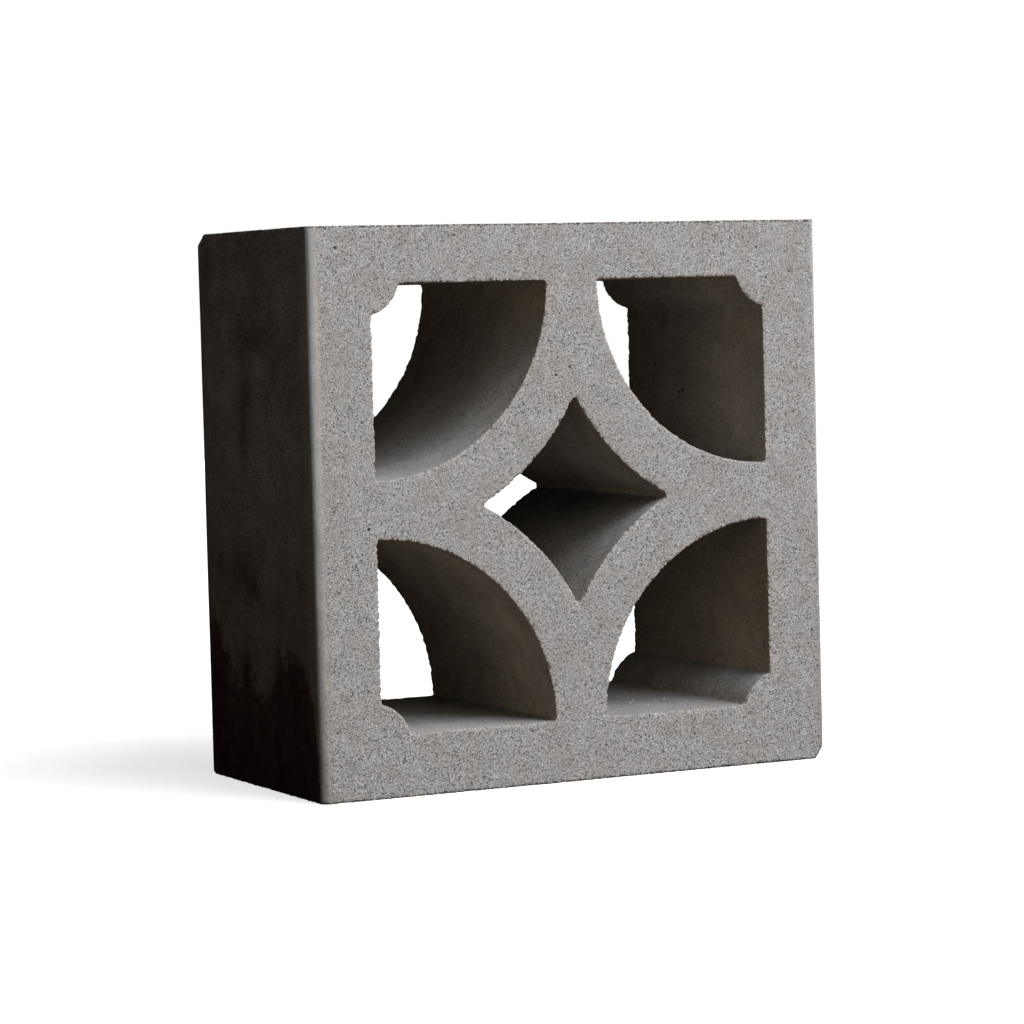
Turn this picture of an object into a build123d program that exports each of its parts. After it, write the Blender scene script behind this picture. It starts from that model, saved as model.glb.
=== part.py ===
"""A decorative screen block: one unit of a pierced garden wall, cast in concrete.

It is a single casting, nearly square on the face and open from front to back. A
flat outer frame holds four curved ribs, each an arc about one inner corner of the
frame, and four straight bars that join the ribs to the middle of each side.
Between them lie five openings: a quarter round in each corner, cut back by a
round boss, and a four-pointed star in the middle.

Millimetres. The block stands on its lower bed face, with the origin at the
centre of that face, +Z up and the front face towards -Y.
"""

from build123d import *
import os

# The block, and the square space inside its frame that the bars, ribs and bosses share out
block_depth = 150  # through the wall
frame_opening = 228  # height and width

# Thickness of the concrete, seen on the face
side_wall = 34  # outer frame, left and right
top_wall = 29.5  # outer frame, above
bottom_wall = 32.5  # outer frame, below, on which the block stands
bar_wall = 30  # straight bars between two corner openings
rib_wall = 29.5  # curved ribs round the star

# The round boss that fills each inner corner of the frame
boss_radius = 22
boss_setback = 5.5  # the boss's centre lies this far inside the frame, past both of its faces

# Rounded edges
arris_radius = 4.5  # upright edges of the block
bed_edge_radius = 1.5  # edges round the top and bottom bed faces
core_corner_radius = 1.5  # sharp corners of the moulding cores, and of the openings they leave

# The outer size: 290 high, which makes a 300 course with a 10 joint, and 296 wide
block_height = bottom_wall + frame_opening + top_wall
block_width = frame_opening + 2 * side_wall

# The arcs about the corners of the space inside the frame
corner_opening_radius = frame_opening / 2 - bar_wall / 2
star_arc_radius = corner_opening_radius + rib_wall
boss_spacing = frame_opening + 2 * boss_setback

# The front face, drawn upright with its centre at the centre of the openings
face_centre = (0, -block_depth / 2, bottom_wall + frame_opening / 2)
front_face = Plane(origin=face_centre, x_dir=(1, 0, 0), z_dir=(0, -1, 0))

with BuildPart() as screen_block:
    # The plain block, with its arrises rounded before the bed edges that run round them
    Box(block_width, block_depth, block_height, align=(Align.CENTER, Align.CENTER, Align.MIN))
    fillet(screen_block.edges().filter_by(Axis.Z), arris_radius)
    bed_faces = screen_block.faces().filter_by(Plane.XY)
    fillet(bed_faces.edges(), bed_edge_radius)

    # Four quarter-round openings, each about one corner of the frame and short of its boss
    with BuildSketch(front_face) as corner_openings:
        with GridLocations(frame_opening, frame_opening, 2, 2):
            Circle(corner_opening_radius)
        Rectangle(frame_opening, frame_opening, mode=Mode.INTERSECT)
        with GridLocations(boss_spacing, boss_spacing, 2, 2):
            Circle(boss_radius, mode=Mode.SUBTRACT)
        fillet(corner_openings.vertices(), core_corner_radius)
    extrude(amount=-block_depth, mode=Mode.SUBTRACT)

    # The star that the four ribs leave between them
    with BuildSketch(front_face) as star_opening:
        Rectangle(frame_opening, frame_opening)
        with GridLocations(frame_opening, frame_opening, 2, 2):
            Circle(star_arc_radius, mode=Mode.SUBTRACT)
        fillet(star_opening.vertices(), core_corner_radius)
    extrude(amount=-block_depth, mode=Mode.SUBTRACT)

screen_block.part.label = "screen_block"

os.makedirs("parts", exist_ok=True)
export_step(screen_block.part, "parts/screen_block.step")
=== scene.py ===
"""The looks of a decorative screen block: one pierced casting of grey concrete, in a plain studio.

Lengths are in millimetres from the middle of the block, with x to the right, y from the
front face to the back and z up, until the mesh is written in metres.
"""

import bpy
import bmesh
import math
import numpy as np
from mathutils import Matrix, Vector, noise
from mathutils.geometry import delaunay_2d_cdt
from mathutils.kdtree import KDTree


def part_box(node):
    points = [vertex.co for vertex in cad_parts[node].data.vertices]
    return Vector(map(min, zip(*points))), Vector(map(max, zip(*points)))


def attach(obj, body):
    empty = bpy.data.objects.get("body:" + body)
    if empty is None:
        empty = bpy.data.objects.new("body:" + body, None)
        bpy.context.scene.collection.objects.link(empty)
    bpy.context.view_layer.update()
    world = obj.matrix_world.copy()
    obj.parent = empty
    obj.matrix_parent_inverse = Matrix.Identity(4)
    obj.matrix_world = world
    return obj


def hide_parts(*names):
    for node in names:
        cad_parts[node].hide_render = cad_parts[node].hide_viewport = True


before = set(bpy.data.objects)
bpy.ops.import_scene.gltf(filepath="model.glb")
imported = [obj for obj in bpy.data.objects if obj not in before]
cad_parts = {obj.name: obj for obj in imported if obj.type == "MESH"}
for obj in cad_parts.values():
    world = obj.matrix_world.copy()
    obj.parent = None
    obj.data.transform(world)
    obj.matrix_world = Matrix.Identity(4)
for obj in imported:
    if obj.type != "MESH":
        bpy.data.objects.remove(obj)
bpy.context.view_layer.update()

# The openings. The block is dry concrete, rammed into a steel mould round five cores that
# slide out again, so each opening keeps one outline from front to back, and its corners
# are only as round as the edges of its core.

metre = 1000
low, high = (np.array(corner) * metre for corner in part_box("screen_block"))
half_sizes = (high - low) / 2
half_width, half_depth, half_height = half_sizes
middle = (high + low) / 2

side_wall = 34
opening_lift = 1.5
bar_wall = 30
rib_wall = 29.5
boss_radius = 22
boss_setback = 5.5
core_corner = 1.5
longest_corner = 3 * core_corner
corner_steps = 4
core_half = half_width - side_wall
quarter_radius = core_half - bar_wall / 2
star_radius = quarter_radius + rib_wall
right_angle = math.pi / 2


def straight(start, end):
    """A straight stretch of an outline: its length, and its points and normals at shares of it."""
    run = np.subtract(end, start)
    length = np.hypot(*run)
    return length, lambda t: (start + np.outer(t, run), np.tile((run[1], -run[0]) / length, (len(t), 1)))


def arc(centre, radius, start, end):
    """A round stretch of an outline, given in the same way. Its normals point out if it turns left."""
    turn = end - start

    def at(t):
        spokes = np.column_stack([np.cos(start + turn * t), np.sin(start + turn * t)])
        return centre + radius * spokes, spokes * np.sign(turn)
    return abs(turn) * radius, at


# A quarter-round core, measured from the inner corner of the frame along the frame's two walls:
# from the boss to the rib along one wall, round the rib, back along the other and round the boss.
to_rib = math.sqrt((quarter_radius - core_corner) ** 2 - core_corner ** 2)
rib = math.atan2(core_corner, to_rib)
past_boss = boss_setback + core_corner
to_boss = math.sqrt((boss_radius + core_corner) ** 2 - past_boss ** 2) - boss_setback
boss = math.atan2(boss_setback + to_boss, past_boss)
quarter_core = [straight((to_boss, 0), (to_rib, 0)),
                arc((to_rib, core_corner), core_corner, -right_angle, rib),
                arc((0, 0), quarter_radius, rib, right_angle - rib),
                arc((core_corner, to_rib), core_corner, right_angle - rib, 2 * right_angle),
                straight((0, to_rib), (0, to_boss)),
                arc((core_corner, to_boss), core_corner, 2 * right_angle, 2 * right_angle + boss),
                arc((-boss_setback, -boss_setback), boss_radius, boss, right_angle - boss),
                arc((to_boss, core_corner), core_corner, 3 * right_angle - boss, 3 * right_angle)]

# The star core between the ribs: a rounded tip and a rib's arc, four times round the middle.
to_tip = core_half - math.sqrt((star_radius + core_corner) ** 2 - core_half ** 2)
tip = math.atan2(core_half, core_half - to_tip)
star_core = []
for turn in np.arange(4) * right_angle:
    tip_centre = to_tip * np.array([math.cos(turn), math.sin(turn)])
    diagonal = turn + right_angle / 2
    rib_centre = core_half * math.sqrt(2) * np.array([math.cos(diagonal), math.sin(diagonal)])
    star_core += [arc(tip_centre, core_corner, turn - tip, turn + tip),
                  arc(rib_centre, star_radius, turn + 2 * right_angle + tip, turn + 3 * right_angle - tip)]

cores = [(quarter_core, (side_x, side_z)) for side_z in (1, -1) for side_x in (-1, 1)] + [(star_core, None)]


def stations(pieces, spacing):
    """How far round a core its points lie, at about that spacing, with every join."""
    along, start = [], 0
    for length, _ in pieces:
        steps = max(corner_steps if length < longest_corner else 1, round(length / spacing))
        along.append(start + np.arange(steps) / steps * length)
        start += length
    return np.concatenate(along)


def outline(pieces, corner, along):
    """Points on the face at those stations of a core, and their normals into the concrete."""
    points, normals = np.empty((len(along), 2)), np.empty((len(along), 2))
    start = 0
    for length, at in pieces:
        here = (along >= start) & (along <= start + length)
        points[here], normals[here] = at((along[here] - start) / length)
        start += length
    if corner:
        points, normals = corner * (core_half - points), normals * corner * -1
    return points + (0, opening_lift), normals


# The skin of the casting, patch by patch: two pressed faces, four mould sides and the walls
# that the cores left. Its points lie close together along the rims, where dry concrete
# crumbles as the block leaves the mould, and round the air holes in its surface.

rng = np.random.default_rng(7)
front_spacing = 0.55
back_spacing = 1.6
bed_edge_spacing = 0.8
arris_spacing = 2.0
side_edge_spacing = 1.5
level_spacing = 3.6
level_margin = 3.5
seam_margin = 0.5

# Rows of points lie at these distances inside the edges, and every second one of the last by a rim
rim_rows = (0.35, 0.8, 1.6)
rim_steps = (1, 1, 2)
bed_rows = (0.4, 0.9, 1.7, 3.0)
arris_rows = (0.8, 1.8, 2.9, 4.0)
row_stretch = 1.3
row_margin = 0.93

# A lattice fills what lies between two distances from the edges, with points this far apart
front_lattices = ((2.3, 6, 1.7), (6, 200, 2.6))
back_lattices = ((2.3, 6, 2.8), (6, 200, 4.5))
side_lattices = ((3.5, 8, 3.2), (8, 200, 5.5))
wall_lattices = ((2.3, 7, 2.6), (7, 200, 4.6))
lattice_height = 0.866
lattice_shake = 0.15
lattice_margin = 0.62
far_away = 1000


def tree_of(points):
    """A search tree over the points of a patch."""
    tree = KDTree(len(points))
    for number, point in enumerate(points):
        tree.insert((point[0], point[1], 0), number)
    tree.balance()
    return tree


def gap(points, others):
    """How far each point lies from the nearest of the others."""
    if not len(others):
        return np.full(len(points), far_away)
    tree = tree_of(others)
    return np.array([tree.find((point[0], point[1], 0))[2] for point in points])


def rectangle(half_u, half_v, spacing_u, spacing_v):
    """A closed loop round a rectangle."""
    steps_u, steps_v = round(2 * half_u / spacing_u), round(2 * half_v / spacing_v)
    u = np.linspace(-half_u, half_u, steps_u + 1)
    v = np.linspace(-half_v, half_v, steps_v + 1)
    return np.vstack([np.column_stack([u[:-1], np.full(steps_u, -half_v)]),
                      np.column_stack([np.full(steps_v, half_u), v[:-1]]),
                      np.column_stack([u[:0:-1], np.full(steps_u, half_v)]),
                      np.column_stack([np.full(steps_v, -half_u), v[:0:-1]])])


def within(points, loops):
    """Which points lie inside an odd number of closed loops."""
    inside = np.zeros(len(points), bool)
    for loop in loops:
        after = np.roll(loop, -1, axis=0)
        rise = np.where(after[:, 1] == loop[:, 1], 1, after[:, 1] - loop[:, 1])
        spans = (loop[:, 1] > points[:, 1:2]) != (after[:, 1] > points[:, 1:2])
        crossing = loop[:, 0] + (points[:, 1:2] - loop[:, 1]) / rise * (after[:, 0] - loop[:, 0])
        inside ^= (spans & (points[:, :1] < crossing)).sum(axis=1) % 2 == 1
    return inside


# The rings of an air hole: their share of its radius, how many points and their share of its depth
hole_rings = ((0, 1, 1), (0.6, 6, 0.85), (1, 9, 0), (1.35, 10, 0))
face_hole_radii = (0.3, 0.75)
skin_hole_radii = (0.4, 0.9)
depth_shares = (0.4, 0.7)
front_hole_count = 40
back_hole_count = 45
side_hole_count = 22
wall_hole_count = 20
hole_to_edge = 2.6
hole_to_hole = 1.2
hole_to_row = 0.8


def hollows(found):
    """Air holes, given by place, radius and depth, as rings of points with how deep each is sunk."""
    points = []
    for u, v, radius, depth in found:
        for share, count, share_deep in hole_rings:
            angle = rng.uniform(0, 7) + np.arange(count) / count * 4 * right_angle
            reach = radius * share * rng.uniform(0.88, 1.12, count)
            points.append(np.column_stack([u + np.cos(angle) * reach, v + np.sin(angle) * reach,
                                           np.full(count, depth * share_deep)]))
    return np.vstack(points)


def air_holes(count, loops, radii_range, marks=()):
    """Those marked and others scattered over a patch, mostly small, clear of its edges and each other."""
    smallest, largest = radii_range
    tries = count * 3
    places = rng.uniform(loops[0].min(axis=0), loops[0].max(axis=0), (tries, 2))
    radii = smallest + (largest - smallest) * rng.uniform(0, 1, tries) ** 2.2
    depths = radii * rng.uniform(*depth_shares, tries)
    found = np.vstack([np.reshape(marks, (-1, 4)), np.column_stack([places, radii, depths])])
    clear = within(found, loops) & (gap(found, np.vstack(loops)) > found[:, 2] + hole_to_edge)
    found = found[clear][:count]
    apart = [(np.hypot(*(found[:k] - hole)[:, :2].T) > found[:k, 2] + hole[2] + hole_to_hole).all()
             for k, hole in enumerate(found)]
    return hollows(found[apart])


def filled(loops, rows, lattices, holes):
    """A patch between closed edge loops: its points, each with how deep it is sunk, and its triangles.

    Inside the edges come the rows along them, then the air holes, then triangular lattices that
    widen away from the edges and are shaken a little, so that they show no rows.
    """
    edge = np.vstack(loops)
    inner = np.vstack([row[gap(row, edge) > row_margin * inset] for inset, row in rows])
    inner = inner[gap(inner, holes) > hole_to_row]
    inner = np.vstack([np.column_stack([inner, np.zeros(len(inner))]), holes])
    low_corner, high_corner = edge.min(axis=0), edge.max(axis=0)
    for nearest, farthest, spacing in lattices:
        u, v = np.meshgrid(np.arange(low_corner[0], high_corner[0], spacing),
                           np.arange(low_corner[1], high_corner[1], spacing * lattice_height))
        u = u + (np.arange(len(v)) % 2)[:, None] * spacing / 2
        points = np.column_stack([u.ravel(), v.ravel(), np.zeros(u.size)])
        points[:, :2] += rng.uniform(-lattice_shake, lattice_shake, (len(points), 2)) * spacing
        points = points[within(points, loops)]
        to_edge = gap(points, edge)
        points = points[(to_edge > nearest) & (to_edge <= farthest)]
        inner = np.vstack([inner, points[gap(points, inner) > lattice_margin * spacing]])

    points = np.vstack([np.column_stack([edge, np.zeros(len(edge))]), inner])
    edges, start = [], 0
    for loop in loops:
        edges += [(start + k, start + (k + 1) % len(loop)) for k in range(len(loop))]
        start += len(loop)
    result = delaunay_2d_cdt([Vector(point[:2]) for point in points], edges, [], 0, 1e-5)
    source = np.array([origin[0] for origin in result[3]])
    triangles = source[np.array(result[2])]
    on_edges = (triangles < start).all(axis=1)
    inside = within(points[triangles[on_edges], :2].mean(axis=1), loops)
    return points, np.vstack([triangles[~on_edges], triangles[on_edges][inside]])


patches = []


def keep(places, inward, sunk, rim_gaps, rim_normals, on_face, triangles):
    """Adds a patch to the skin, with what each of its points has to know to be worn later."""
    start = sum(len(patch[0]) for patch in patches)
    known = np.column_stack([places, np.broadcast_to(inward, places.shape), sunk,
                             np.broadcast_to(rim_gaps, len(places)), rim_normals,
                             np.full(len(places), on_face)])
    patches.append((known, triangles + start))


# The largest air holes are marked by place, radius and depth, and the rest are scattered.
front_marks = ((-132.9, 133.8, 1, 0.5), (-66.8, 139.4, 0.8, 0.4), (-92.5, 140.7, 0.6, 0.3),
               (-94.3, 136.7, 0.7, 0.3), (-120.8, 46, 0.7, 0.4), (-118.6, -7.9, 1.1, 0.5),
               (67.2, -125.8, 0.8, 0.4), (-57.7, -138.1, 0.8, 0.4), (-106.7, -111.1, 0.6, 0.3),
               (111, 130.6, 0.8, 0.4), (116.7, 114.7, 0.6, 0.3), (-2.2, 70.5, 1, 0.4),
               (-10.4, 66.6, 0.8, 0.4), (14.6, 39.9, 0.7, 0.4), (140.9, -75.3, 0.8, 0.4),
               (-128.4, -21, 0.6, 0.3))
for side, spacing, lattices, count, marks in (
        (-1, front_spacing, front_lattices, front_hole_count, front_marks),
        (1, back_spacing, back_lattices, back_hole_count, ())):
    loops = [rectangle(half_width, half_height, bed_edge_spacing, arris_spacing)]
    rows = [(bed, rectangle(half_width - arris, half_height - bed, bed_edge_spacing * row_stretch,
                            arris_spacing)) for arris, bed in zip(arris_rows, bed_rows)]
    into = []
    for core in cores:
        points, normals = outline(*core, stations(core[0], spacing))
        loops.append(points)
        into.append(normals)
        rows += [(inset, (points + inset * normals)[::step]) for inset, step in zip(rim_rows, rim_steps)]
    holes = air_holes(count, loops, face_hole_radii, marks)
    flat, triangles = filled(loops, rows, lattices, holes)
    rims = tree_of(np.vstack(loops[1:]))
    nearest_rim = [rims.find((u, v, 0)) for u, v in flat[:, :2]]
    places = np.column_stack([flat[:, 0], np.full(len(flat), side * half_depth), flat[:, 1]])
    keep(places, (0, -side, 0), flat[:, 2], [found[2] for found in nearest_rim],
         np.vstack(into)[[found[1] for found in nearest_rim]], 1, triangles)

left_marks = ((44.1, 121.9, 0.9, 0.4), (-62.4, 67.4, 0.8, 0.4), (-15.8, 102.3, 0.6, 0.3),
              (-50.1, -31.9, 1.1, 0.5), (-25.5, -48.8, 0.9, 0.4), (37.4, -39.2, 0.8, 0.4),
              (19.8, -97.7, 0.8, 0.4))
for axis, half_u, half_v, spacing_u, spacing_v, rows_u in (
        (0, half_depth, half_height, side_edge_spacing, arris_spacing, arris_rows),
        (2, half_width, half_depth, bed_edge_spacing, side_edge_spacing, bed_rows)):
    for side in (-1, 1):
        loops = [rectangle(half_u, half_v, spacing_u, spacing_v)]
        rows = [(inset_v, rectangle(half_u - inset_u, half_v - inset_v, spacing_u * row_stretch, spacing_v))
                for inset_u, inset_v in zip(rows_u, bed_rows)]
        marks = left_marks if (axis, side) == (0, -1) else ()
        holes = air_holes(side_hole_count, loops, skin_hole_radii, marks)
        flat, triangles = filled(loops, rows, side_lattices, holes)
        places = np.insert(flat[:, :2], axis, side * half_sizes[axis], axis=1)
        keep(places, -side * np.eye(3)[axis], flat[:, 2], far_away, np.zeros((len(flat), 2)), 0, triangles)

# On the walls a point is placed by its distance round the core and its depth. The right walls
# have the largest air holes, and crumbs stand proud of the lower right floor.
right_wall_holes = {1: ((13.2, 53.8, 1.6, 0.6), (17.1, 52.5, 1.2, 0.5), (43.3, 68.1, 1.2, 0.5),
                        (-43.6, 78.1, 0.9, 0.5), (38.1, 30.5, 0.8, 0.4), (-13.7, 62.3, 0.7, 0.4),
                        (-83.1, 76, 0.7, 0.4)),
                    -1: ((-52.2, -70.3, 0.9, 0.5), (59.8, -85, 1.2, 0.5), (-69.6, -82, 0.8, 0.4))}
floor_crumbs = ((53.7, -28.7, 0.8, -0.9), (59.5, -21.5, 0.9, -0.8), (71.2, -25, 0.8, -0.8),
                (77.4, -24, 0.9, -0.9), (66, -31, 0.6, -0.5), (42.5, -60.2, 0.6, -0.6),
                (54.7, -47, 0.7, -0.7), (70.2, -59.6, 0.6, -0.6))
for pieces, corner in cores:
    ends = np.cumsum([0] + [piece[0] for piece in pieces])
    length = ends[-1]
    front, back = stations(pieces, front_spacing), stations(pieces, back_spacing)
    rim_levels = half_depth - np.array(rim_rows)
    levels = np.arange(-half_depth + level_margin, half_depth - level_margin, level_spacing)
    levels = np.concatenate([-rim_levels, levels, rim_levels[::-1]])
    seam = np.column_stack([np.full(len(levels), length), levels])
    loop = np.vstack([np.column_stack([front, np.full(len(front), -half_depth)]),
                      [(length, -half_depth)], seam, [(length, half_depth)],
                      np.column_stack([back, np.full(len(back), half_depth)])[::-1],
                      (seam - (length, 0))[::-1]])
    rows = []
    for side, along in ((-1, front), (1, back)):
        for inset, step in zip(rim_rows, rim_steps):
            row = along[1::step]
            rows.append((inset, np.column_stack([row, np.full(len(row), side * (half_depth - inset))])))
    for start, end in zip(ends, ends[1:]):
        if end - start < longest_corner:
            for at in (start, (start + end) / 2, end):
                if seam_margin < at < length - seam_margin:
                    column = np.column_stack([np.full(len(levels), at), levels])
                    rows.append((0, column[len(rim_rows):-len(rim_rows)]))
    marks = []
    if corner and corner[0] == 1:
        marks += [(ends[4] + to_rib - core_half + abs(z - opening_lift), y, radius, depth)
                  for y, z, radius, depth in right_wall_holes[corner[1]]]
    if corner == (1, -1):
        marks += [(core_half - x - to_boss, y, radius, depth) for x, y, radius, depth in floor_crumbs]
    holes = air_holes(wall_hole_count, [loop], skin_hole_radii, marks)
    flat, triangles = filled([loop], rows, wall_lattices, holes)
    points, into = outline(pieces, corner, np.where(flat[:, 0] >= length, 0, flat[:, 0]))
    places = np.column_stack([points[:, 0], flat[:, 1], points[:, 1]])
    inward = np.column_stack([into[:, 0], np.zeros(len(into)), into[:, 1]])
    keep(places, inward, flat[:, 2], 0, into, 0, triangles)

skin = np.vstack([patch[0] for patch in patches])
triangles = np.vstack([patch[1] for patch in patches])
_, first, welded = np.unique(np.round(skin[:, :3], 4), axis=0, return_index=True, return_inverse=True)
skin, triangles = skin[first], welded.reshape(-1)[triangles]

# The edges. The upright arrises are moulded round. The rims of the openings and of the beds
# are as sharp as dry concrete comes out of steel: they crumble a little all the way, and some
# corners of the block are knocked off.

arris_radius = 4
crumble_depth = 3
corner_reach = 30
sharp, inward, sunk = skin[:, :3], skin[:, 3:6], skin[:, 6]
rim_gap, rim_normal, on_face = skin[:, 7], skin[:, 8:10], skin[:, 10]
outwards = np.sign(sharp)
to_side, to_face, to_bed = (half_sizes - abs(sharp)).T


def grain(points, size, seed):
    """Smooth noise of that size at each point."""
    return np.array([noise.noise(Vector(point) / size + Vector((seed, 0, 0))) for point in points])


def rounded(a, b, radius):
    """How far points at distances a and b from an edge's two planes move in, to round the edge."""
    from_a, from_b = radius - a, radius - b
    share = np.maximum(from_a, from_b) / np.hypot(from_a, from_b)
    share = np.where((from_a > 0) & (from_b > 0), share, 1)
    return from_a * (1 - share), from_b * (1 - share)


def crumbled(points, mean, rough, seed):
    """The radius of a crumbling edge: sand grains fall out of it singly, and here and there in lumps."""
    grains = grain(points, 1.1, seed) + 0.6 * grain(points, 2.6, seed + 20)
    lumps = np.maximum(grain(points, 6, seed + 40) - 0.3, 0)
    return np.clip(mean + rough * grains + 3 * lumps, 0.1, crumble_depth - 0.6)


moved = sharp.copy()
near = (rim_gap < crumble_depth) & (to_face < crumble_depth)
foot = sharp[near].copy()
foot[:, [0, 2]] -= rim_gap[near, None] * rim_normal[near]
foot[:, 1] = outwards[near, 1] * half_depth
from_rim, from_face = rounded(rim_gap[near], to_face[near], crumbled(foot, mean=0.8, rough=2.2, seed=3))
moved[np.ix_(near, [0, 2])] += from_rim[:, None] * rim_normal[near]
moved[near, 1] -= from_face * outwards[near, 1]
worn = np.zeros(len(moved))
worn[near] = from_rim + from_face

to_arris = np.column_stack([arris_radius - to_side, arris_radius - to_face])
at_arris = (to_arris > 0).all(axis=1)
in_x, in_y = rounded(to_side, to_face, arris_radius)
moved[:, 0] -= np.where(at_arris, in_x, 0) * outwards[:, 0]
moved[:, 1] -= np.where(at_arris, in_y, 0) * outwards[:, 1]
way_out = np.where((to_side < to_face)[:, None], (1, 0), (0, 1)).astype(float)
way_out[at_arris] = to_arris[at_arris] / np.linalg.norm(to_arris[at_arris], axis=1)[:, None]
near = (np.minimum(to_side, to_face) < crumble_depth) & (to_bed < crumble_depth)
foot = moved[near].copy()
foot[:, 2] = outwards[near, 2] * half_height
from_side, from_bed = rounded(np.minimum(to_side, to_face)[near], to_bed[near],
                              crumbled(foot, mean=0.9, rough=1.5, seed=8))
moved[np.ix_(near, [0, 1])] -= from_side[:, None] * way_out[near] * outwards[near, :2]
moved[near, 2] -= from_bed * outwards[near, 2]
worn[near] += from_side + from_bed

# The knocked-off corners: which one, and how much is missing along its three edges
knocked = (((1, -1, -1), (6.4, 18, 8.6)), ((-1, 1, 1), (16, 13, 7.8)), ((-1, 1, -1), (8, 7, 2.5)))
broken = np.zeros(len(moved))
for corner, lengths in knocked:
    from_corner = half_sizes - moved * corner
    missing = 1 + 0.1 * grain(moved, size=3, seed=60) - (from_corner / lengths).sum(axis=1)
    cut = (missing > 0) & (abs(from_corner) < corner_reach).all(axis=1)
    push = 1 / np.array(lengths)
    moved[cut] -= missing[cut, None] * push / (push ** 2).sum() * corner
    broken[cut] = 1

# The pressed faces are slightly uneven, and the moulded skin nearly flat.
face_relief = 0.1 + 0.16 * grain(sharp, size=5, seed=70) + 0.22 * grain(sharp, size=24, seed=80)
skin_relief = 0.08 + 0.14 * grain(sharp, size=45, seed=90)
most_relief = 0.5
relief = np.clip(np.where(on_face > 0, face_relief, skin_relief), 0, most_relief)
moved += (sunk + relief * (broken == 0))[:, None] * inward

# How far each point lies inside a pressed face: below nothing is moulded skin, which also
# covers the arrises and a few millimetres of the face beside them.
skin_lap = np.where(sharp[:, 0] < 0, 5, 2)
pressed = np.where(on_face > 0, np.minimum(rim_gap, to_side - skin_lap), -to_face)
pressed = np.where(broken > 0, crumble_depth, pressed)

# Damp has crept up the left side from the bed and hardly turns its corners. Its tide line is
# given by depth and height over the bed. Smudges, given by depth, height, their reach both ways
# and how dark they are, lie above it and in it.
damp_turn = 4
tide = ((-75, -30), (-72, 0), (-69, 40), (-64, 56), (-58, 68), (-47, 74), (-34, 69), (-23, 75), (-17, 57),
        (-11, 48), (2, 46), (12, 51), (18, 68), (24, 57), (31, 51), (44, 63), (53, 76), (61, 84), (75, 85))
smudges = ((23, 110, 18, 13, 0.6), (5, 103, 8, 6, 0.5), (52, 117, 8, 6, 0.5), (-54, 113, 4, 9, 0.6),
           (0, 234, 22, 6, 0.6), (13, 205, 6, 9, 0.7), (16, 184, 6, 14, 0.45), (62, 270, 9, 16, 0.5),
           (73, 210, 7, 50, 0.55), (74, 130, 6, 40, 0.5), (-44, 46, 6, 7, 0.8), (-18, 26, 6, 14, 0.6),
           (-23, 9, 10, 6, 0.9), (28, 14, 11, 10, 0.9), (55, 10, 9, 8, 0.9), (20, 62, 7, 10, 0.5),
           (60, 60, 9, 16, 0.5))
from_left = half_width + sharp[:, 0]
over_bed = half_height + sharp[:, 2]
damp = np.interp(sharp[:, 1], *zip(*tide)) - over_bed - damp_turn * from_left
smudged = sum(dark * np.exp(-((sharp[:, 1] - y) / reach_y) ** 2 - ((over_bed - z) / reach_z) ** 2)
              for y, z, reach_y, reach_z, dark in smudges) * (from_left < crumble_depth)

casting_mesh = bpy.data.meshes.new("screen_block_casting")
casting_mesh.from_pydata(((moved + middle) / metre).tolist(), [], triangles.tolist())
for name, values in (("pressed", pressed), ("sunk", sunk), ("worn", worn), ("damp", damp),
                     ("smudged", smudged)):
    casting_mesh.attributes.new(name, "FLOAT", "POINT").data.foreach_set("value", values.astype(np.float32))
shaped = bmesh.new()
shaped.from_mesh(casting_mesh)
bmesh.ops.recalc_face_normals(shaped, faces=shaped.faces)
shaped.to_mesh(casting_mesh)
shaped.free()
casting_mesh.shade_smooth()
casting = bpy.data.objects.new("screen_block_casting", casting_mesh)
bpy.context.collection.objects.link(casting)
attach(casting, "root")
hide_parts("screen_block")

# The concrete: grey cement with crushed sand. The pressed faces are open and sandy, with
# salt-and-pepper grains of half a millimetre to one. The mould and its cores leave a closed,
# warmer and cloudy skin of cement. Damp darkens the foot of the left side.


def linear(colour):
    """An sRGB hex colour as the linear one that a shader takes."""
    parts = [int(colour[k:k + 2], 16) / 255 for k in (1, 3, 5)]
    return [part / 12.92 if part <= 0.04045 else ((part + 0.055) / 1.055) ** 2.4 for part in parts] + [1]


def add(tree, kind, inputs=None, **settings):
    """Adds one node with its settings, and gives each input, by name or number, its value or link."""
    made = tree.nodes.new("ShaderNode" + kind)
    for name, value in settings.items():
        setattr(made, name, value)
    for name, value in (inputs or {}).items():
        if isinstance(value, bpy.types.NodeSocket):
            tree.links.new(value, made.inputs[name])
        else:
            made.inputs[name].default_value = value
    return made


def material(name):
    """An empty node material and its output node."""
    made = bpy.data.materials.new(name)
    made.use_nodes = True
    made.node_tree.nodes.clear()
    return made, made.node_tree, made.node_tree.nodes.new("ShaderNodeOutputMaterial")


def amount(*parts):
    """How thick a coat lies: its parts multiplied. Each is a number, a link, or a value with the two
    levels between which it comes to count, the second being the one where it counts in full."""
    factors = [add(tree, "MapRange", dict(zip(("Value", "From Min", "From Max"), part))).outputs[0]
               if isinstance(part, tuple) else part for part in parts]
    product = factors[0]
    for factor in factors[1:]:
        product = add(tree, "Math", {0: product, 1: factor}, operation="MULTIPLY").outputs[0]
    return product


def coat(under, over, *parts):
    """A colour with a hex colour laid over it, as thick as the parts make it."""
    return add(tree, "Mix", {0: amount(*parts), 6: under, 7: linear(over)}, data_type="RGBA").outputs[2]


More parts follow.
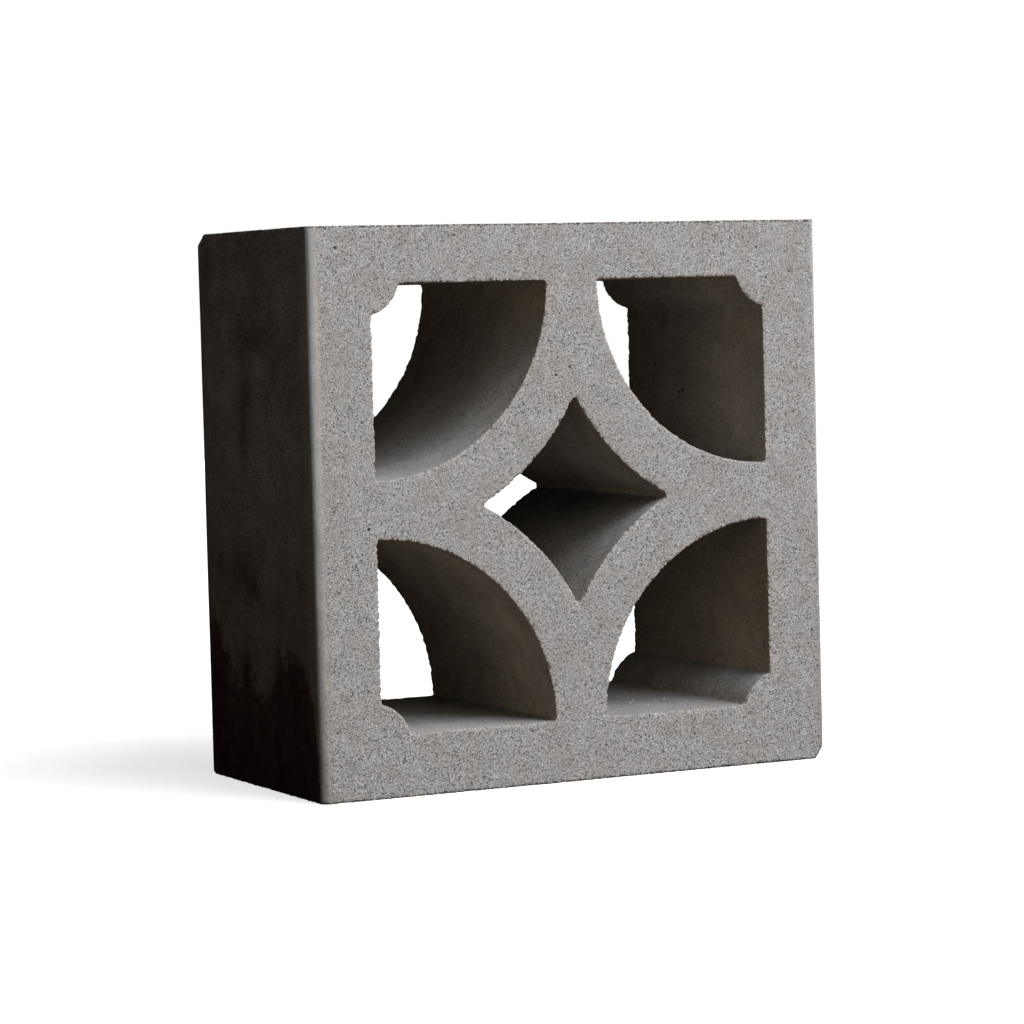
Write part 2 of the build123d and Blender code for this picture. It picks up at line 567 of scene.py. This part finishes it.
concrete, tree, surface = material("dry_cast_concrete")
place = add(tree, "TexCoord").outputs
mm = add(tree, "VectorMath", {0: place["Object"], "Scale": metre}, operation="SCALE").outputs[0]
across, _, height = add(tree, "SeparateXYZ", {0: mm}).outputs
facing_x, _, facing_z = add(tree, "SeparateXYZ", {0: place["Normal"]}).outputs
pressed_gap, sunk_by, worn_by, damp_by, smudge = (
    add(tree, "Attribute", attribute_name=name).outputs["Fac"]
    for name in ("pressed", "sunk", "worn", "damp", "smudged"))

# Sand: each cell of about half a millimetre is one grain with a tone of its own
sand = add(tree, "TexVoronoi", {"Vector": mm, "Scale": 1 / 0.6})
sand_tone = add(tree, "SeparateColor", {"Color": sand.outputs["Color"]}).outputs[0]
fines = add(tree, "TexNoise", {"Vector": mm, "Scale": 1 / 0.5, "Detail": 2, "Roughness": 0.6}).outputs[0]
tone = add(tree, "Mix", {0: 0.5, 2: sand_tone, 3: fines}).outputs[0]
face_colour = coat(linear("#737371"), "#c1c1c0", tone)

# Pores between the grains, dark inside, with more of them low down, where the ramming reached
# less, and a few whole grains washed clean
pores = add(tree, "TexNoise", {"Vector": mm, "Scale": 1 / 0.8, "Detail": 1, "Roughness": 0.5}).outputs[0]
looser = amount((height, 150, 20), 0.016)
pore = amount((add(tree, "Math", {0: pores, 1: looser}, operation="ADD").outputs[0], 0.61, 0.71))
face_colour = coat(face_colour, "#5e5b58", pore)
face_colour = coat(face_colour, "#d0cfce", (pores, 0.36, 0.27))

# The cement skin: cloudy, with a fine grain and dark specks
blooms = add(tree, "TexNoise", {"Vector": mm, "Scale": 1 / 22, "Detail": 5, "Roughness": 0.65}).outputs[0]
skin_tone = add(tree, "Mix", {0: 0.58, 2: blooms, 3: tone}).outputs[0]
skin_colour = coat(linear("#78746f"), "#bfb9b2", (skin_tone, 0.36, 0.64))
specks = add(tree, "TexNoise", {"Vector": mm, "Scale": 1 / 1.6, "Detail": 1}).outputs[0]
skin_colour = coat(skin_colour, "#5c5854", (specks, 0.64, 0.74))

# A painted highlight lies along the upright arrises, weaker low down, with a painted cool
# blue-grey highlight where they turn. The walls and ceilings of the openings get a painted warm
# shade tint, and what faces up a darker blue-grey: partly grime, partly painted cool light.
off_centre = add(tree, "Math", {0: across}, operation="ABSOLUTE").outputs[0]
rising = add(tree, "MapRange", {"Value": height, "From Min": 20, "From Max": 170, "To Min": 0.35}).outputs[0]
# Painted highlight: a paler band along both upright arrises and the strip of side beside them
arris_highlight = amount((off_centre, half_width - 13, half_width - 4), (pressed_gap, -16, -2), rising)
skin_colour = coat(skin_colour, "#b7b6b5", arris_highlight, 0.6)
# Painted highlight: a cool blue-grey where the left arris turns towards the side
skin_colour = coat(skin_colour, "#ccd6e0", (facing_x, -0.25, -0.7), (facing_x, -0.997, -0.95), arris_highlight)
# Painted shade tint: warm brown on the walls and ceilings of the openings, not on what faces up
skin_colour = coat(skin_colour, "#b9a68f", (off_centre, half_width - 12, half_width - 16),
                   (facing_z, 0.4, 0), 0.38)
# Darker blue-grey on what faces up: partly grime, partly painted cool light
skin_colour = coat(skin_colour, "#5c6870", (facing_z, 0.1, 0.8), 0.52)

# Where the sandy face gives way to the skin the border wanders by a millimetre or so
wander = add(tree, "TexNoise", {"Vector": mm, "Scale": 1 / 2, "Detail": 2}).outputs[0]
wander = add(tree, "MapRange", {"Value": wander, "From Min": 0.3, "From Max": 0.7, "To Min": -1,
                                "To Max": 1}, clamp=False).outputs[0]
sandy = amount((add(tree, "Math", {0: pressed_gap, 1: wander}, operation="ADD").outputs[0], -0.6, 1))
colour = add(tree, "Mix", {0: sandy, 6: skin_colour, 7: face_colour}, data_type="RGBA").outputs[2]

# Brownish fines lie in clouds over the whole block, and the arrises are scuffed grey low down
clouds = add(tree, "TexNoise", {"Vector": mm, "Scale": 1 / 18, "Detail": 3, "Roughness": 0.55}).outputs[0]
colour = coat(colour, "#8b857e", (clouds, 0.42, 0.75), 0.35)
colour = coat(colour, "#6b6a69", (off_centre, half_width - 7, half_width - 2), (height, 170, 20), 0.45)

# The damp is darkest low down and ends in a ragged tide line, with a faint halo above it. The
# smudges are broken up in the same way.
ragged = add(tree, "TexNoise", {"Vector": mm, "Scale": 1 / 8, "Detail": 5, "Roughness": 0.75}).outputs[0]
tide_line = add(tree, "MapRange", {"Value": ragged, "From Min": 0.3, "From Max": 0.7, "To Min": -9,
                                   "To Max": 9}, clamp=False).outputs[0]
tide_line = add(tree, "Math", {0: damp_by, 1: tide_line}, operation="ADD").outputs[0]
deep = add(tree, "MapRange", {"Value": damp_by, "From Min": 0, "From Max": 55, "To Min": 0.76,
                              "To Max": 0.97}).outputs[0]
soaked = add(tree, "MapRange", {"Value": ragged, "From Min": 0.35, "From Max": 0.62,
                                "To Min": 0.86}).outputs[0]
colour = coat(colour, "#5c4645", (damp_by, -70, -5), (ragged, 0.38, 0.66), 0.55)
colour = coat(colour, "#42222d", deep, (tide_line, -7, 7), soaked)
colour = coat(colour, "#40282a", smudge, (ragged, 0.15, 0.5))

# Painted shade darkens the air holes, most where they are deepest. Dirt lies between the grains of
# the crumbled edges, and the rounded edges of the beds get dark specks, but not the beds themselves:
# dark crumbs along the upper bed, painted shade under the lower one. The crumbs on the floors are clean and
# pale.
# Painted shade in the air holes, darkest where they are sunk deepest
colour = coat(colour, "#37322e", (sunk_by, 0.01, 0.2), 0.75)
colour = coat(colour, "#b3aa9e", (sunk_by, -0.15, -0.6))
colour = coat(colour, "#4a433d", (worn_by, 0.35, 1.1), (fines, 0.4, 0.6), 0.6)
to_middle = add(tree, "Math", {0: height, 1: middle[2]}, operation="SUBTRACT").outputs[0]
to_middle = add(tree, "Math", {0: to_middle}, operation="ABSOLUTE").outputs[0]
level = add(tree, "Math", {0: facing_z}, operation="ABSOLUTE").outputs[0]
# Dark specks along the bed edges: dark crumbs at the top, painted shade under the lower edge
colour = coat(colour, "#33261f", (to_middle, half_height - 1.6, half_height - 0.6), (pores, 0.42, 0.54),
              (level, 0.97, 0.8))

# The sandy faces feel gritty, with a relief of a third of a millimetre, and the skin almost smooth
grit = add(tree, "Math", {0: tone, 1: pore}, operation="SUBTRACT").outputs[0]
grit = add(tree, "Math", {0: grit, 1: sandy}, operation="MULTIPLY").outputs[0]
normal = add(tree, "Bump", {"Height": grit, "Distance": 0.3 / metre}).outputs[0]
normal = add(tree, "Bump", {"Height": fines, "Distance": 0.07 / metre, "Normal": normal}).outputs[0]
rough = add(tree, "Mix", {0: sandy, 2: 0.85, 3: 0.95}).outputs[0]
shader = add(tree, "BsdfPrincipled", {"Base Color": colour, "Roughness": rough, "Normal": normal, "IOR": 1.5,
                                      "Specular IOR Level": 0})
tree.links.new(shader.outputs[0], surface.inputs["Surface"])
casting_mesh.materials.append(concrete)

# The studio: a plain pale floor that runs on into a white background. The lens sees both
# as white, and the floor keeps the block's soft shadow but throws little light back.


def seen_by_lens(tree):
    """One for what the lens sees, straight, in a gloss or through glass, and nothing for the rest."""
    rays = add(tree, "LightPath").outputs
    seen = add(tree, "Math", {0: rays["Is Camera Ray"], 1: rays["Is Glossy Ray"]},
               operation="MAXIMUM").outputs[0]
    return add(tree, "Math", {0: seen, 1: rays["Is Transmission Ray"]}, operation="MAXIMUM").outputs[0]


floor_mesh = bpy.data.meshes.new("studio_floor")
reach = 30
floor_mesh.from_pydata([(-reach, -reach, 0), (reach, -reach, 0), (reach, reach, 0), (-reach, reach, 0)], [],
                       [(0, 1, 2, 3)])
floor = bpy.data.objects.new("studio_floor", floor_mesh)
bpy.context.collection.objects.link(floor)

# The paper is white by a glow of its own, a little less near the block, where the shadow shows
paper, paper_tree, paper_surface = material("white_paper")
spot = add(paper_tree, "TexCoord").outputs["Object"]
from_block = add(paper_tree, "VectorMath", {0: spot}, operation="LENGTH").outputs["Value"]
strength = add(paper_tree, "MapRange", {"Value": from_block, "From Min": 0.4, "From Max": 1.6,
                                        "To Min": 0.72}).outputs[0]
glow = add(paper_tree, "Emission", {"Color": linear("#ffffff"), "Strength": strength})
sheet = add(paper_tree, "BsdfDiffuse", {"Color": linear("#c8c8c8")})
lit = add(paper_tree, "AddShader", {0: glow.outputs[0], 1: sheet.outputs[0]})
dull = add(paper_tree, "BsdfDiffuse", {"Color": linear("#2c2926")})
shown = add(paper_tree, "MixShader", {0: seen_by_lens(paper_tree), 1: dull.outputs[0], 2: lit.outputs[0]})
paper_tree.links.new(shown.outputs[0], paper_surface.inputs["Surface"])
floor_mesh.materials.append(paper)

# The world is white to the lens too, and throws only a trace of warm light
world = bpy.data.worlds.new("studio")
bpy.context.scene.world = world
world.use_nodes = True
sky_tree = world.node_tree
sky_tree.nodes.clear()
dim = add(sky_tree, "Background", {"Color": linear("#ffe8cc"), "Strength": 0.006})
white = add(sky_tree, "Background", {"Color": linear("#ffffff"), "Strength": 1})
sky = add(sky_tree, "MixShader", {0: seen_by_lens(sky_tree), 1: dim.outputs[0], 2: white.outputs[0]})
sky_tree.links.new(sky.outputs[0], add(sky_tree, "OutputWorld").inputs["Surface"])

# The lamps: a large soft box high on the right, a small warm one in front, a weak one for the
# left side, and one low behind the block that shines into its openings.

block_centre = Vector(middle / metre)
lamp_distance = 4


def soft_box(name, azimuth, elevation, width, height, watts, colour):
    """An area lamp that faces the block from that side, azimuth counted from the front."""
    lamp = bpy.data.lights.new(name, "AREA")
    lamp.shape = "RECTANGLE"
    lamp.size = width
    lamp.size_y = height
    lamp.energy = watts
    lamp.color = linear(colour)[:3]
    carrier = bpy.data.objects.new(name, lamp)
    azimuth, elevation = math.radians(azimuth), math.radians(elevation)
    away = Vector((math.sin(azimuth) * math.cos(elevation), -math.cos(azimuth) * math.cos(elevation),
                   math.sin(elevation)))
    carrier.location = block_centre + away * lamp_distance
    carrier.rotation_euler = away.to_track_quat("Z", "Y").to_euler()
    bpy.context.collection.objects.link(carrier)


soft_box("key_lamp", 37, 47, 3.4, 3.4, 336, "#faf9fc")
soft_box("front_fill", 0, 26, 1.4, 1.4, 24, "#ffead2")
soft_box("left_fill", -60, 4, 1.4, 1.4, 8, "#fff0dc")
soft_box("back_lamp", 155, 0, 0.6, 0.4, 36, "#fff8f0")

# The camera: a long lens in front of the block and to its left, a little above its middle and
# not quite level.

camera_data = bpy.data.cameras.new("camera")
camera_data.sensor_width = 36
camera_data.lens = 122.025
camera = bpy.data.objects.new("camera", camera_data)
turned, tilted, rolled = (Matrix.Rotation(math.radians(angle), 4, axis)
                          for angle, axis in ((-26.702, "Z"), (90 - 3.421, "X"), (-1.447, "Z")))
camera.matrix_world = Matrix.Translation((-0.83719, -1.66423, 0.24849)) @ turned @ tilted @ rolled
bpy.context.collection.objects.link(camera)
bpy.context.scene.camera = camera

bpy.context.scene.view_settings.view_transform = "Standard"
